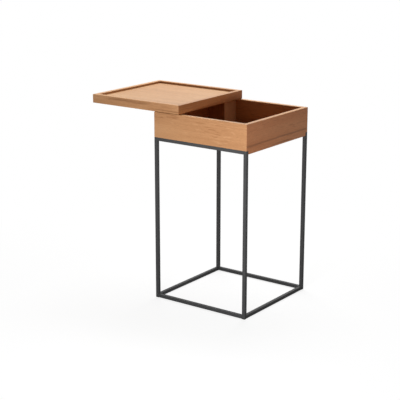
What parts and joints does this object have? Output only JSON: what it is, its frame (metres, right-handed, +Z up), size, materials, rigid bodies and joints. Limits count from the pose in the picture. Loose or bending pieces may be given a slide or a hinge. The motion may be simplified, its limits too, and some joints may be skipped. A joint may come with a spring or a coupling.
{
  "type": "swivel top side table",
  "caption": "Square side table: slim steel frame, oak storage box, and a rimmed tray lid that swivels out a quarter turn on a corner post.",
  "frame": {"origin": "on the floor, at the middle of the open table's length and depth; the swivel axis is at x = 0", "axes": "+Z up; -Y is the front; the tray stands open towards -X"},
  "size_m": [0.604, 0.35, 0.645],
  "materials": {
    "frame_coat": "matt fine-texture powder coat, anthracite",
    "oak_box": "oiled oak veneer outside and inside",
    "plain_wood": "bare sawn beech",
    "zinc_steel": "bright zinc plate",
    "nylon": "natural nylon",
    "black_plastic": "moulded, matt",
    "oak_tray": "oiled oak veneer panel and solid oak rims"
  },
  "bodies": {
    "base": {"leg_front_left": "frame_coat", "leg_front_right": "frame_coat", "leg_back_left": "frame_coat", "leg_back_right": "frame_coat", "bottom_rail_front": "frame_coat", "bottom_rail_right": "frame_coat", "bottom_rail_back": "frame_coat", "bottom_rail_left": "frame_coat", "top_rail_front": "frame_coat", "top_rail_back": "frame_coat", "box_front": "oak_box", "box_right": "oak_box", "box_back": "oak_box", "box_left": "oak_box", "box_bottom": "oak_box", "post_side_board": "oak_box", "post_front_board": "oak_box", "mitre_splines": "plain_wood", "post_upper_block": "plain_wood", "post_lower_block": "plain_wood", "frame_screws": "zinc_steel", "stop_pin": "zinc_steel", "upper_bush": "nylon", "lower_bush": "nylon", "thrust_washer": "nylon", "floor_glides": "black_plastic", "access_cap": "black_plastic"},
    "tray": {"tray_panel": "oak_tray", "tray_rim_front": "oak_tray", "tray_rim_right": "oak_tray", "tray_rim_back": "oak_tray", "tray_rim_left": "oak_tray", "pivot_disc": "zinc_steel", "pivot_shaft": "zinc_steel", "pivot_screws": "zinc_steel", "retaining_washer": "zinc_steel", "lock_nut": "zinc_steel"}
  },
  "joints": [
    {"name": "tray_swivel", "type": "hinge", "parent": "base", "child": "tray", "pos_m": [0, 0.127, 0.616], "axis": [0, 0, 1], "range_deg": [0, 90]}
  ]
}
